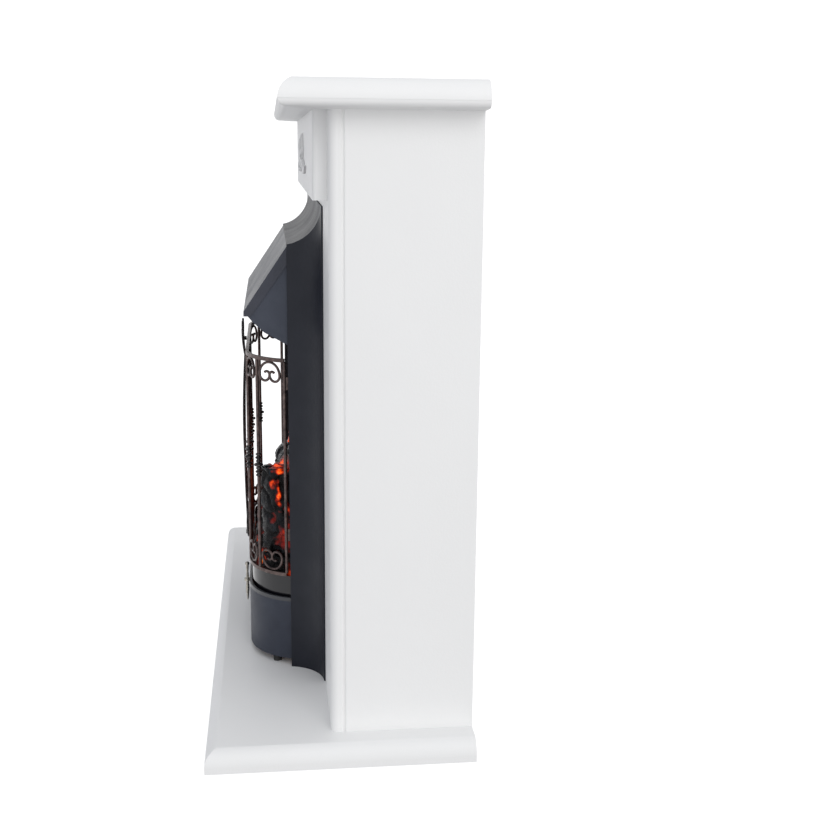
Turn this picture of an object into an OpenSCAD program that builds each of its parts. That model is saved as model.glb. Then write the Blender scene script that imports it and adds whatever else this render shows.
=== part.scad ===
// Free-standing electric fireplace suite: a painted surround with a hearth board and a moulded shelf,
// and an electric fire insert with a coved trim, a sloping hood, a bowed fret and a log effect bed.
// The frame stands on the floor at z = 0, centred in x and y, front towards -y, wall side towards +y.

/* [Overall] */
// Width over the hearth board
unit_w = 854; // [712:1:1040]
// Depth over the hearth board
unit_d = 320; // [300:1:400]
// Height from the floor to the top of the shelf
total_h = 784; // [764:1:980]

/* [Surround] */
// Depth from the wall to the face of the front boards
body_d = 171; // [160:1:220]
// How far the hearth board runs past each side panel
hearth_side = 38; // [10:1:60]
// Thickness of the hearth board
hearth_t = 27; // [20:1:36]
// Thickness of the mantel shelf
shelf_t = 32; // [26:1:40]
// How far the shelf runs past the front boards
shelf_front = 54; // [45:1:75]
// Thickness of the surround boards
board_t = 16; // [12:1:22]
// How far the frieze board stands proud of the front boards
frieze_proud = 16; // [10:1:24]

/* [Insert] */
// Width over the trim of the fire
frame_w = 494; // [440:1:560]
// Height of the trim of the fire
frame_h = 615; // [590:1:640]
// Radius of the coved trim
cove_r = 50; // [40:1:56]
// Forward reach of the hood from the trim lip
hood_out = 55; // [46:1:66]
// Drop of the sloping hood
hood_drop = 82; // [66:1:98]
// Corner radius of the bowed fret and base cover
bow_r = 80; // [70:1:88]

/* [Fret] */
// Height of the lower rail above the hearth board
rail_low = 128; // [118:1:140]
// Height of the upper rail above the hearth board
rail_high = 417; // [390:1:425]
// Diameter of the fret bars
bar_d = 4.4; // [3.6:0.1:5]
// Height of the three bead collar on a bar
collar_h = 32; // [27:1:38]
// Radius of the arch of a scroll
scroll_r = 16.6; // [14:0.1:17]
// Diameter of the scroll wire
wire_d = 3.4; // [2.8:0.1:4]

/* [Works] */
// Diameter of the flame spindle rod
spindle_d = 6; // [5:0.5:8]
// Diameter of the blower rotor
rotor_d = 44; // [36:1:50]
// Number of blades on the blower rotor
rotor_blades = 18; // [12:1:24]
// Number of lamps on the light board
lamp_count = 9; // [5:1:12]

/* [Hidden] */
$fn = 64;
e = 0.01;

// Levels and planes of the surround
wall_y = unit_d / 2;
face_y = wall_y - body_d;
body_w = unit_w - 2 * hearth_side;
side_x = body_w / 2;
shelf_z = total_h - shelf_t;
shelf_w = unit_w - 2;
shelf_in = 29;
shelf_top_in = 15;
shelf_wide_z = 10;

// Levels and planes of the insert
sheet = 2;
tin = 1.5;
trim_x = frame_w / 2;
trim_z = hearth_t + frame_h;
back_r = cove_r + sheet;
cove_y = face_y - back_r;
lip_y = cove_y + 8.5;
in_x = trim_x - back_r;
in_z = trim_z - back_r;
open_x = in_x + 8;
open_z = in_z + 8;
tip_y = lip_y - hood_out;
tip_z = in_z - hood_drop;
cheek_z = in_z - 127;
case_x = in_x + sheet;
case_y = wall_y - 34;
case_z = in_z + sheet;

// Plan of the bow
bow_y = tip_y;
bow_cy = bow_y + bow_r;
bow_cx = in_x - 78;
bow_a = asin((lip_y - 5.5 - bow_cy) / bow_r);
low_z = hearth_t + rail_low;
high_z = hearth_t + rail_high;
rail_w = 4;
rail_h = 4.6;
bow_mid = bow_r - rail_w / 2;
cover_a = asin((lip_y + 2.5 - bow_cy) / bow_r);

// Places of the fret bars on the right half, as x and y: two on the bend and three on the flat
bar_a = [bow_a, (bow_a - 90) / 2];
bar_xy = [for (a = bar_a) [bow_cx + bow_mid * cos(a), bow_cy + bow_mid * sin(a)],
    for (k = [0:2]) [bow_cx - 42 * k, bow_cy - bow_mid]];

// Levels of the base
cover_z = hearth_t + 9.5;
cover_top = low_z - 37;
rim_d = 5;
deck_z = low_z - 26;
deck_t = 2;
lip_top = low_z - rail_h / 2 - 0.8;

// Works
screen_y = wall_y - 132;
spindle_y = wall_y - 96;
spindle_z = deck_z - 28;
spindle_x = in_x - 45;
shelf_level = cheek_z + 2;
blower_y = wall_y - 106;
blower_z = shelf_level + rotor_d / 2 + 18;
rotor_x = in_x - 95;
front_y = face_y - 11;
panel_x = 62;
switch_x = 124;
switch_z = shelf_level + 22;
switch_pitch = 24;
switch_y = front_y + 4.5;
knob_x = 88;
knob_z = shelf_level + 62;
pin_y = lip_y + 22;
pin_z = [low_z + 55, high_z - 30];
gland_x = in_x - 42;
gland_z = hearth_t + 40;

white = [0.93, 0.93, 0.92];
black = [0.19, 0.2, 0.24];
bronze = [0.3, 0.25, 0.22];
pewter = [0.55, 0.53, 0.48];
zinc = [0.72, 0.73, 0.75];
plastic = [0.1, 0.1, 0.11];
raw_wood = [0.76, 0.63, 0.45];

module both_sides() {
    children();
    mirror([1, 0, 0]) children();
}

module along_x(len) {
    translate([-len / 2, 0, 0]) rotate([90, 0, 90]) linear_extrude(height = len) children();
}

module along_y(y0, y1) {
    translate([0, y1, 0]) rotate([90, 0, 0]) linear_extrude(height = y1 - y0) children();
}

// One moulded edge, 40 wide: a rounded nose above the widest line and an optional rounded lip below
// it, set back by a small quirk and sloping in to the underside.
module edge_profile(low, low_in, high, high_in) {
    rh = (high_in * high_in + high * high) / (2 * high_in);
    fill = (high_in + rh) / 2;
    intersection() {
        translate([-1, low]) square([rh + 1, high]);
        translate([rh, low]) circle(r = rh);
    }
    translate([fill, low]) square([40 - fill, high]);
    if (low_in > 0) {
        r = low * 0.85;
        translate([0.5 + r, low]) intersection() {
            circle(r = r);
            translate([-r - 1, -r - 1]) square([r + 5, r + 1]);
        }
        polygon([[0.5 + r, low - r + 0.25], [low_in, 0], [40, 0], [40, low], [0.5 + r, low]]);
    } else square([40, low]);
}

module board_profile(half, both, low, low_in, high, high_in) {
    translate([-half, 0]) edge_profile(low, low_in, high, high_in);
    translate([40 - half, 0]) square([2 * half - (both ? 80 : 40), low + high]);
    if (both) mirror([1, 0]) translate([-half, 0]) edge_profile(low, low_in, high, high_in);
}

// A board with the same moulding on its front and both ends, mitred, and cut square at the wall.
module moulded_board(w, y0, y1, low, low_in, high, high_in) {
    n = 40;
    h = low + high;
    intersection() {
        translate([0, (y0 + y1) / 2, 0]) along_x(w) board_profile((y1 - y0) / 2, false, low, low_in, high, high_in);
        translate([0, 0, -1]) linear_extrude(height = h + 2)
            polygon([[-w / 2, y0], [w / 2, y0], [w / 2 - n, y0 + n], [n - w / 2, y0 + n]]);
    }
    for (s = [0, 1]) mirror([s, 0, 0]) intersection() {
        along_y(y0, y1) board_profile(w / 2, true, low, low_in, high, high_in);
        translate([0, 0, -1]) linear_extrude(height = h + 2)
            polygon([[w / 2, y0], [w / 2, y1], [w / 2 - n, y1], [w / 2 - n, y0 + n]]);
    }
    translate([n - w / 2, y0 + n, 0]) cube([w - 2 * n, y1 - y0 - n, h]);
}

module screw_places() {
    both_sides() {
        for (y = [face_y + board_t + 25, (face_y + wall_y) / 2 + 8, wall_y - 25])
            translate([side_x - board_t / 2, y, 0]) children();
        translate([(side_x + open_x) / 2, face_y + board_t / 2, 0]) children();
    }
}

module hearth_board() color(white) difference() {
    moulded_board(unit_w, -unit_d / 2, unit_d / 2, hearth_t * 0.3, 0, hearth_t * 0.7, 14);
    screw_places() {
        translate([0, 0, -e]) cylinder(d = 5, h = hearth_t + 2 * e);
        translate([0, 0, -e]) cylinder(d = 10, h = 5 + e);
    }
}

module mantel_shelf() color(white) translate([0, 0, shelf_z])
    moulded_board(shelf_w, face_y - shelf_front, wall_y, shelf_t * 0.31, shelf_in, shelf_t * 0.69, shelf_top_in);

// Side panel: its front outer edge is eased, so a fine groove shows against the pilaster.
module side_panel() difference() {
    translate([side_x - board_t, face_y + board_t, hearth_t])
        cube([board_t, body_d - board_t, shelf_z - hearth_t]);
    translate([side_x, face_y + board_t, hearth_t - 1]) rotate([0, 0, 45])
        translate([-1.6, -1.6, 0]) cube([3.2, 3.2, shelf_z - hearth_t + 2]);
    screw_places() translate([0, 0, hearth_t - e]) cylinder(d = 5, h = 26);
}

module side_panel_right() color(white) side_panel();

module side_panel_left() color(white) mirror([1, 0, 0]) side_panel();

// Pilaster: a front board with a rounded outer edge, beside the opening for the fire.
module pilaster() difference() {
    translate([0, 0, hearth_t]) linear_extrude(height = shelf_z - hearth_t) {
        translate([open_x, face_y]) square([side_x - open_x - 9, board_t]);
        translate([side_x - 9, face_y + 9]) square([9, board_t - 9]);
        intersection() {
            translate([side_x - 9, face_y]) square([9, 9]);
            translate([side_x - 9, face_y + 9]) circle(r = 9);
        }
    }
    translate([side_x, face_y + board_t, hearth_t - 1]) rotate([0, 0, 45])
        translate([-1.6, -1.6, 0]) cube([3.2, 3.2, shelf_z - hearth_t + 2]);
    screw_places() translate([0, 0, hearth_t - e]) cylinder(d = 5, h = 26);
    flange_places() cylinder(d = 4, h = 15);
}

module pilaster_right() color(white) pilaster();

module pilaster_left() color(white) mirror([1, 0, 0]) pilaster();

module header_board() color(white)
    translate([-open_x, face_y, open_z]) cube([2 * open_x, board_t, shelf_z - open_z]);

// Frieze board, proud of the front boards, with a rounded edge at each end.
module frieze_board() color(white) {
    half = side_x - 33;
    z0 = trim_z + 12;
    translate([0, 0, z0]) linear_extrude(height = shelf_z - z0) {
        translate([-half, face_y - frieze_proud + 4]) square([2 * half, frieze_proud - 4]);
        translate([4 - half, face_y - frieze_proud]) square([2 * half - 8, 4]);
        for (s = [-1, 1]) intersection() {
            translate([s * (half - 2) - 2, face_y - frieze_proud]) square([4, 4]);
            translate([s * (half - 4), face_y - frieze_proud + 4]) circle(r = 4);
        }
    }
}

// Carved onlay: three full leaves above a rosette, with a spray of flatter leaves to each side.
module lens(len, wide) intersection() {
    r = (len * len + wide * wide) / (4 * wide);
    translate([r - wide, len / 2]) circle(r = r, $fn = 360);
    translate([wide - r, len / 2]) circle(r = r, $fn = 360);
}

module leaf(len, wide, deep) intersection() {
    linear_extrude(height = 2 * deep, center = true) lens(len, wide);
    translate([0, len / 2, -len * 0.75]) sphere(r = len * 0.75 + deep);
}

module flat_leaf(at, turn, len, wide, deep) translate(at) rotate(turn) linear_extrude(height = deep)
    lens(len, wide);

module carved_onlay() color(white)
    translate([0, face_y - frieze_proud, (trim_z + 7 + shelf_z) / 2]) rotate([90, 0, 0]) intersection() {
        union() {
            translate([0, -2, 0]) leaf(28, 7, 7);
            for (s = [-1, 1]) {
                translate([0, -6, 0]) rotate([0, 0, 50 * s]) leaf(22, 5, 6);
                flat_leaf([6 * s, -13], -86 * s, 44, 5.5, 4.6);
                flat_leaf([42 * s, -11], -104 * s, 44, 5, 4);
                flat_leaf([80 * s, -21.5], -80 * s, 40, 4.4, 3.4);
            }
            translate([0, -14, 0]) cylinder(r = 9, h = 4);
            for (a = [0:60:300]) translate([0, -14, 0]) rotate([0, 0, a]) translate([5.6, 0, 0]) cylinder(r = 3, h = 6);
            translate([0, -14, 0]) cylinder(r = 3.4, h = 7.6);
        }
        translate([-150, -30, 0]) cube([300, 60, 12]);
    }

// Rear rail and corner blocks hold the box square behind the fire.
module rear_rail() color(raw_wood) difference() {
    translate([board_t - side_x, wall_y - board_t, shelf_z - 70]) cube([2 * (side_x - board_t), board_t, 70]);
    both_sides() translate([side_x - 50, wall_y - board_t / 2, shelf_z - 70 - e]) cylinder(d = 4, h = 22);
}

module corner_blocks() color(raw_wood) both_sides() {
    translate([side_x - board_t - 28, face_y + board_t, shelf_z - 28]) cube([28, 90, 28]);
    translate([side_x - board_t - 28, face_y + board_t, hearth_t]) cube([28, 90, 28]);
}

module hearth_screws() color(zinc) screw_places() {
    translate([0, 0, 5]) cylinder(d = 4.9, h = hearth_t + 18);
    translate([0, 0, 1.6]) cylinder(d = 9.4, h = 3.4);
}

// Wall brackets: one leaf under the rear rail and one against the wall with a fixing hole.
module wall_brackets() color(zinc) both_sides() difference() {
    union() {
        translate([side_x - 65, wall_y - 28, shelf_z - 72]) cube([30, 28, 2]);
        translate([side_x - 65, wall_y - 2, shelf_z - 112]) cube([30, 2, 41]);
    }
    translate([side_x - 50, wall_y - board_t / 2, shelf_z - 73]) cylinder(d = 4, h = 4);
    translate([side_x - 50, wall_y - 3, shelf_z - 96]) rotate([-90, 0, 0]) cylinder(d = 5.5, h = 4);
}

// Fixing screws: one up through each wall bracket and three through each casing flange.
module fixing_screws() color(zinc) both_sides() {
    translate([side_x - 50, wall_y - board_t / 2, shelf_z - 72]) {
        cylinder(d = 3.9, h = 20);
        translate([0, 0, -2.2]) cylinder(d = 7.6, h = 2.2);
    }
    flange_places() {
        cylinder(d = 3.9, h = 13);
        translate([0, 0, -2]) cylinder(d = 7.4, h = 2);
    }
}

module flange_places() for (z = [hearth_t + 60, hearth_t + 300, hearth_t + 520])
    translate([case_x + tin + 20, face_y - 1.5, z]) rotate([-90, 0, 0]) children();

// Coved trim: a thin quarter round sheet that flares from the lip out to the boards, with an inner return.
module cove_section() {
    intersection() {
        difference() {
            circle(r = back_r);
            circle(r = cove_r);
        }
        translate([-back_r, 8.5]) square([back_r, back_r]);
    }
    translate([-back_r, 8.5]) square([sheet, back_r - 2]);
}

module mitre(grow) rotate([90, 0, 0]) linear_extrude(height = 900, center = true)
    polygon([[0, trim_z - trim_x + grow], [trim_x + 100, trim_z + 100 + grow],
        [-trim_x - 100, trim_z + 100 + grow]]);

module trim_side() difference() {
    translate([trim_x, cove_y, hearth_t]) linear_extrude(height = frame_h) cove_section();
    mitre(0);
    for (z = pin_z) translate([in_x - 1, pin_y, z]) rotate([0, 90, 0]) cylinder(d = 4, h = 4);
}

module trim_right() color(black) trim_side();

module trim_left() color(black) mirror([1, 0, 0]) trim_side();

module trim_top() color(black) intersection() {
    translate([0, cove_y, trim_z]) along_x(frame_w) mirror([1, -1]) cove_section();
    mitre(0);
}

// Hood: a sloping front with turned-down side lips over two cheeks, whose tabs run back inside the trim.
module hood_front() color(black) {
    slope = atan2(in_z - tip_z, lip_y - tip_y);
    run = sqrt(pow(in_z - tip_z, 2) + pow(lip_y - tip_y, 2));
    along_x(2 * in_x - 0.6) polygon([[lip_y, in_z - 0.2], [tip_y, tip_z], [tip_y, tip_z - 6],
        [tip_y + tin, tip_z - 6], [tip_y + tin, tip_z - 0.6], [lip_y + 0.9, in_z - tin - 0.2],
        [lip_y + 34, in_z - tin - 0.2], [lip_y + 34, in_z - 0.2]]);
    both_sides() translate([in_x - 0.3 - tin, 0, 0]) rotate([90, 0, 90]) linear_extrude(height = tin)
        polygon([[lip_y, in_z - tin], [tip_y, tip_z], [tip_y, tip_z - 6],
            [tip_y + 9, tip_z - 6], [lip_y + 8, in_z - tin - 11]]);
}

module hood_cheeks() color(black) both_sides()
    translate([in_x - 0.4 - 2 * tin, 0, 0]) rotate([90, 0, 90]) linear_extrude(height = tin)
        polygon([[lip_y + 1.6, in_z - tin - 1.2], [tip_y + tin + 0.1, tip_z - 1.6], [tip_y + 11, tip_z - 13],
            [tip_y + 26, tip_z - 27], [lip_y + 3, cheek_z], [lip_y + 34, cheek_z], [lip_y + 34, in_z - tin - 1.2]]);

// Firebox casing: five sheet panels behind the opening.
module casing_back() color(black) difference() {
    translate([-case_x, case_y - tin, hearth_t + 2]) cube([2 * case_x, tin, case_z - hearth_t - 2]);
    translate([gland_x, case_y - 3, gland_z]) rotate([-90, 0, 0]) cylinder(d = 14, h = 4);
    for (i = [-4:4]) translate([i * 30 - 8, case_y - 3, case_z - 44]) cube([16, 4, 4]);
}

module casing_sides() color(black) both_sides() difference() {
    translate([case_x, face_y - 1.5, hearth_t + 2])
        cube([tin, case_y - face_y + 1.5, case_z - hearth_t - 2]);
    for (z = pin_z) translate([case_x - 1, pin_y, z]) rotate([0, 90, 0]) cylinder(d = 4, h = 4);
}

module casing_top() color(black)
    translate([-case_x, face_y - 1.5, case_z]) cube([2 * case_x, case_y - face_y + 1.5, tin]);

module casing_floor() color(black) {
    translate([-case_x, face_y + 8, hearth_t + 0.5]) cube([2 * case_x, case_y - face_y - 8, tin]);
    translate([0.5 - in_x, face_y - 1.5, hearth_t + 0.5]) cube([2 * in_x - 1, 10, tin]);
}

// Flanges: strips on the casing that lie on the boards behind the trim and take the fixing screws.
module casing_flanges() color(black) {
    both_sides() difference() {
        translate([case_x + tin, face_y - 1.5, hearth_t + 4]) cube([28, 1.5, frame_h - 60]);
        flange_places() translate([0, 0, -1]) cylinder(d = 4, h = 4);
    }
    translate([30 - case_x, face_y - 1.5, case_z + tin]) cube([2 * case_x - 60, 1.5, 28]);
}

// Plan of the bow as a flat shape: the outline of a D inset by a distance, from the bow back to a line.
module bow_plan(inset, back) intersection() {
    r = bow_r - inset;
    union() {
        translate([-bow_cx, bow_cy]) circle(r = r);
        translate([bow_cx, bow_cy]) circle(r = r);
        translate([-bow_cx, bow_cy - r]) square([2 * bow_cx, 2 * r]);
        translate([-bow_cx - r, bow_cy]) square([2 * bow_cx + 2 * r, 200]);
    }
    translate([2.6 - in_x, bow_y - 1]) square([2 * in_x - 5.2, back - bow_y + 1]);
}

// A band that follows the bow to an end angle, with a rectangular section.
module bow_band(r, t, h, end) {
    translate([-bow_cx, bow_cy - r, 0]) cube([2 * bow_cx, t, h]);
    both_sides() translate([bow_cx, bow_cy, 0]) rotate([0, 0, -90]) rotate_extrude(angle = 90 + end)
        translate([r - t, 0]) square([t, h]);
}

// Deck that carries the log effect, with a skirt behind the gap above the cover.
module fuel_deck() color(black) {
    translate([0, 0, deck_z]) linear_extrude(height = deck_t) bow_plan(4, screen_y - 4);
    translate([0, 0, deck_z - 9]) bow_band(bow_r - 6, 1.6, 9.5, -6);
}

module deck_brackets() color(black) both_sides()
    translate([case_x - 22, face_y + 8, deck_z - 26]) difference() {
        cube([22, 28, 26]);
        translate([-1, -1, -1]) cube([21.5, 30, 25.5]);
    }

module ember_lip() color([0.05, 0.05, 0.06]) translate([0, 0, deck_z + deck_t])
    bow_band(bow_r - 4, 2, lip_top - deck_z - deck_t, -6);

// Ember bed: a moulded tray of coals, open underneath, rising towards the screen.
module ember_bed() color([0.12, 0.1, 0.1]) difference() {
    z0 = deck_z + deck_t;
    translate([0, 0, z0]) linear_extrude(height = 46) bow_plan(8, screen_y - 5);
    translate([0, 0, z0 - 1]) linear_extrude(height = 15) bow_plan(14, screen_y - 11);
    translate([-300, bow_y - 40, z0 + 20]) rotate([22, 0, 0]) cube([600, 300, 200]);
}

// A log is a slightly tapered round of timber with a narrower stub at the end.
module log_piece(len, r0, r1) {
    cylinder(r1 = r0, r2 = r1, h = len);
    translate([0, 0, len * 0.45]) rotate([58, 0, 20]) cylinder(r1 = r1 * 0.62, r2 = r1 * 0.44, h = r1 * 1.9);
}

module logs() color([0.1, 0.09, 0.09]) difference() {
    z0 = deck_z + deck_t;
    union() {
        translate([-168, lip_y + 16, z0 + 62]) rotate([0, 84, 3]) log_piece(330, 31, 27);
        translate([-150, lip_y - 14, z0 + 44]) rotate([0, 88, 8]) log_piece(150, 24, 20);
        translate([24, lip_y - 8, z0 + 42]) rotate([0, 92, -5]) log_piece(140, 25, 21);
        translate([150, lip_y - 6, z0 + 66]) rotate([-32, -52, 0]) log_piece(150, 23, 19);
        translate([-156, lip_y - 2, z0 + 64]) rotate([-36, 50, 0]) log_piece(160, 22, 18);
        translate([-60, lip_y + 30, z0 + 112]) rotate([-8, 78, -6]) log_piece(170, 25, 22);
        translate([166, lip_y + 6, z0 + 40]) rotate([-8, -16, 0]) log_piece(122, 24, 20);
        translate([-170, lip_y + 8, z0 + 40]) rotate([-8, 18, 0]) log_piece(116, 24, 20);
        translate([150, lip_y - 11, z0 + 56]) rotate([3, -5, 0]) log_piece(108, 27, 23);
        translate([6, lip_y + 2, z0 + 136]) rotate([-4, 80, 3]) log_piece(172, 24, 23);
    }
    translate([-300, -300, z0 - 100]) cube([600, 600, 146]);
    difference() {
        translate([-300, -300, z0 - 1]) cube([600, 600, 400]);
        r = bow_r - 10;
        translate([0, 0, z0 - 2]) linear_extrude(height = 402) polygon(concat(
            [[-bow_cx - r, screen_y - 5], [bow_cx + r, screen_y - 5]],
            [for (a = [0:-18:-90]) [bow_cx + r * cos(a), bow_cy + r * sin(a)]],
            [for (a = [-90:18:0]) [-bow_cx - r * cos(a), bow_cy + r * sin(a)]]));
    }
}

// Flame screen: a translucent sheet behind the logs, held by small clips on the casing sides.
module flame_screen() color([0.5, 0.5, 0.5, 0.5])
    translate([-in_x, screen_y, deck_z - 20]) cube([2 * in_x, 3, shelf_level - deck_z + 20]);

module screen_clips() color(zinc) both_sides() for (z = [deck_z + 60, shelf_level - 60])
    translate([case_x - 12, screen_y + 3, z]) cube([12, 8, 14]);

// Flame spindle: a rod with reflector blades that turns behind the screen.
module spindle() color(zinc) translate([0, spindle_y, spindle_z]) {
    translate([-spindle_x - 4, 0, 0]) rotate([0, 90, 0]) cylinder(d = spindle_d, h = 2 * spindle_x + 18);
    for (i = [0:9]) translate([-spindle_x + 14 + i * (2 * spindle_x - 50) / 9, 0, 0]) rotate([i * 72, 0, 0])
        translate([0, -0.4, 0]) cube([22, 0.8, 17]);
    for (i = [0:9]) translate([-spindle_x + 14 + i * (2 * spindle_x - 50) / 9, 0, 0]) rotate([i * 72 + 180, 0, 0])
        translate([0, -0.4, 0]) cube([22, 0.8, 17]);
}

module spindle_bearings() color(plastic) both_sides() difference() {
    union() {
        translate([spindle_x, spindle_y - 11, hearth_t + 2]) cube([3, 22, spindle_z - hearth_t + 9]);
        translate([spindle_x - 16, spindle_y - 11, hearth_t + 2]) cube([17, 22, 3]);
    }
    translate([spindle_x - 1, spindle_y, spindle_z]) rotate([0, 90, 0]) cylinder(d = spindle_d + 0.1, h = 5);
}

module spindle_motor() color(zinc) difference() {
    union() {
        translate([spindle_x + 6, spindle_y, spindle_z]) rotate([0, 90, 0]) cylinder(d = 44, h = 20);
        translate([spindle_x + 6, spindle_y - 25, spindle_z - 4]) cube([2, 50, 8]);
        translate([spindle_x + 6, spindle_y - 15, hearth_t + 2]) cube([20, 30, spindle_z - hearth_t - 20]);
    }
    translate([spindle_x + 5, spindle_y, spindle_z]) rotate([0, 90, 0]) cylinder(d = spindle_d + 0.1, h = 13);
}

// Light board: a strip on two legs that carries the lamps under the bed and in front of the spindle.
module light_board() color([0.1, 0.3, 0.16]) {
    translate([-spindle_x, spindle_y - 42, spindle_z - 26]) cube([2 * spindle_x, 1.6, 24]);
    both_sides() translate([spindle_x - 40, spindle_y - 42, hearth_t + 2])
        cube([12, 1.6, spindle_z - hearth_t - 26]);
}

module lamps() color([1, 0.75, 0.4]) for (i = [0:lamp_count - 1])
    translate([(i - (lamp_count - 1) / 2) * 30, spindle_y - 40.4, spindle_z - 14]) rotate([-90, 0, 0]) {
        cylinder(d = 6.4, h = 1.4);
        cylinder(d = 5, h = 5);
        translate([0, 0, 5]) sphere(d = 5);
    }

// Heater: a shelf across the casing carries a tangential blower that blows forward under the hood.
module heater_shelf() color(zinc) {
    translate([0.3 - case_x, face_y + 8, shelf_level]) cube([2 * case_x - 0.6, case_y - tin - face_y - 8, tin]);
    translate([0.5 - in_x, front_y + 1.5, shelf_level]) cube([2 * in_x - 1, 20, tin]);
}

module blower_housing() color(zinc) translate([0, blower_y, blower_z]) {
    ro = rotor_d / 2 + 12;
    duct = blower_y - front_y - 9;
    along_x(2 * rotor_x + 12) {
        difference() {
            circle(r = ro);
            circle(r = ro - 1.5);
            translate([-ro - 1, -ro - 1]) square([ro + 1, ro + 1]);
            translate([-2, ro - 22]) square([ro, 30]);
        }
        translate([-duct, -ro]) square([duct, 1.5]);
        translate([-duct, -2]) square([duct - ro + 1, 1.5]);
        translate([-ro, -2]) square([2, 3]);
    }
    both_sides() difference() {
        translate([rotor_x + 6, 0, 0]) rotate([90, 0, 90]) linear_extrude(height = 2) {
            circle(r = ro);
            translate([-duct, -ro]) square([duct, ro]);
            translate([-ro, -ro - 4.5]) square([2 * ro, ro]);
        }
        translate([rotor_x + 5, 0, 0]) rotate([0, 90, 0]) cylinder(d = 6.1, h = 4);
    }
}

module blower_rotor() color([0.6, 0.6, 0.62]) translate([0, blower_y, blower_z]) {
    translate([-rotor_x - 12, 0, 0]) rotate([0, 90, 0]) cylinder(d = 6, h = 2 * rotor_x + 36);
    for (x = [-rotor_x, -1, rotor_x - 2]) translate([x, 0, 0]) rotate([0, 90, 0]) cylinder(d = rotor_d, h = 2);
    for (i = [0:rotor_blades - 1]) rotate([i * 360 / rotor_blades, 0, 0])
        translate([-rotor_x, rotor_d / 2 - 7, 0]) rotate([20, 0, 0]) cube([2 * rotor_x, 5.6, 0.8]);
}

module blower_motor() color([0.35, 0.35, 0.38]) difference() {
    union() {
        translate([rotor_x + 12, blower_y, blower_z]) rotate([0, 90, 0]) cylinder(d = 42, h = 34);
        translate([rotor_x + 16, blower_y - 16, shelf_level + tin]) cube([26, 32, rotor_d / 2]);
    }
    translate([rotor_x + 11, blower_y, blower_z]) rotate([0, 90, 0]) cylinder(d = 6.1, h = 15);
}

// Heating element: ribbon rods between two insulating end plates, in the mouth of the blower.
module heating_element() color([0.7, 0.66, 0.6]) translate([0, front_y + 22, blower_z]) {
    z0 = -rotor_d / 2 - 10;
    both_sides() translate([rotor_x - 6, -8, z0]) cube([3, 16, rotor_d / 2 + 7]);
    for (z = [z0 + 5:6:-6]) for (y = [-4, 4]) translate([-rotor_x + 5, y, z]) rotate([0, 90, 0])
        cylinder(d = 2.4, h = 2 * rotor_x - 10);
}

module outlet_grille() color(black) difference() {
    translate([4 - in_x, front_y, shelf_level]) cube([in_x + panel_x - 5, 1.5, in_z - shelf_level - 3]);
    for (k = [0:4]) for (x = [-rotor_x + 8, -22]) translate([x, front_y - 1, shelf_level + 11 + k * 6])
        cube([72, 4, 3.2]);
}

// Control panel: three rocker switches on pivots and the thermostat knob, above the mouth of the hood.
module control_panel() color(black) difference() {
    union() {
        translate([panel_x, front_y, shelf_level]) cube([in_x - 4 - panel_x, 1.5, in_z - shelf_level - 3]);
        for (k = [-1:1]) for (s = [-1, 1])
            translate([switch_x + switch_pitch * k + s * 7.9 - 1, front_y + 1.4, switch_z - 5]) cube([2, 6, 10]);
        translate([knob_x, front_y + 1, knob_z]) rotate([-90, 0, 0]) cylinder(d = 14, h = 9);
    }
    for (k = [-1:1]) translate([switch_x + switch_pitch * k, 0, switch_z]) {
        translate([-6.6, front_y - 1, -9.8]) cube([13.2, 3, 19.6]);
        translate([-10, switch_y, 0]) rotate([0, 90, 0]) cylinder(d = 2.1, h = 20);
    }
    translate([knob_x, front_y - 1, knob_z]) rotate([-90, 0, 0]) cylinder(d = 6.1, h = 12);
}

module rocker(k) color(plastic) translate([switch_x + switch_pitch * k, switch_y, switch_z]) {
    intersection() {
        translate([-6.2, 0, 0]) rotate([0, 90, 0]) cylinder(r = 9.2, h = 12.4);
        translate([-6.2, 0, 0]) rotate([90, 0, 90]) linear_extrude(height = 12.4)
            polygon([[2, -10], [2, 10], [-8.6, 10], [-6.4, 0], [-8.6, -10]]);
    }
    translate([-8.6, 0, 0]) rotate([0, 90, 0]) cylinder(d = 2, h = 17.2);
}

module switch_flame() rocker(-1);

module switch_low() rocker(0);

module switch_high() rocker(1);

module thermostat_knob() color(plastic) translate([knob_x, front_y, knob_z]) rotate([-90, 0, 0]) difference() {
    union() {
        cylinder(d = 6, h = 14);
        translate([0, 0, -2]) cylinder(d = 6, h = 3);
        translate([0, 0, -14]) cylinder(d1 = 20, d2 = 23, h = 12);
    }
    translate([-1, -12, -14 - e]) cube([2, 9, 1.4]);
}

module inlet_gland() color(plastic) translate([gland_x, case_y, gland_z]) rotate([-90, 0, 0]) difference() {
    union() {
        translate([0, 0, -6]) cylinder(d = 13.9, h = 7);
        cylinder(d = 21, h = 5);
        translate([0, 0, 4]) cylinder(d1 = 17, d2 = 13, h = 8);
    }
    translate([0, 0, -8]) cylinder(d = 8, h = 24);
}

// Base cover: a bowed sheet with a turned-in foot flange, a bead along the top, feet and a turned pull.
module base_cover() color(black) translate([0, 0, cover_z]) {
    bow_band(bow_r, tin, cover_top - cover_z, cover_a);
    bow_band(bow_r, 14, tin, bow_a);
}

module cover_rim() color(black) translate([0, 0, cover_top]) {
    bow_band(bow_r + 0.6, 3.4, rim_d, cover_a);
}

module cover_feet() color(plastic) {
    both_sides() translate([bow_cx + (bow_r - 9) * cos(-38), bow_cy + (bow_r - 9) * sin(-38), hearth_t])
        cylinder(d = 11, h = cover_z - hearth_t);
    translate([0, bow_y + 9, hearth_t]) cylinder(d = 11, h = cover_z - hearth_t);
}

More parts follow.
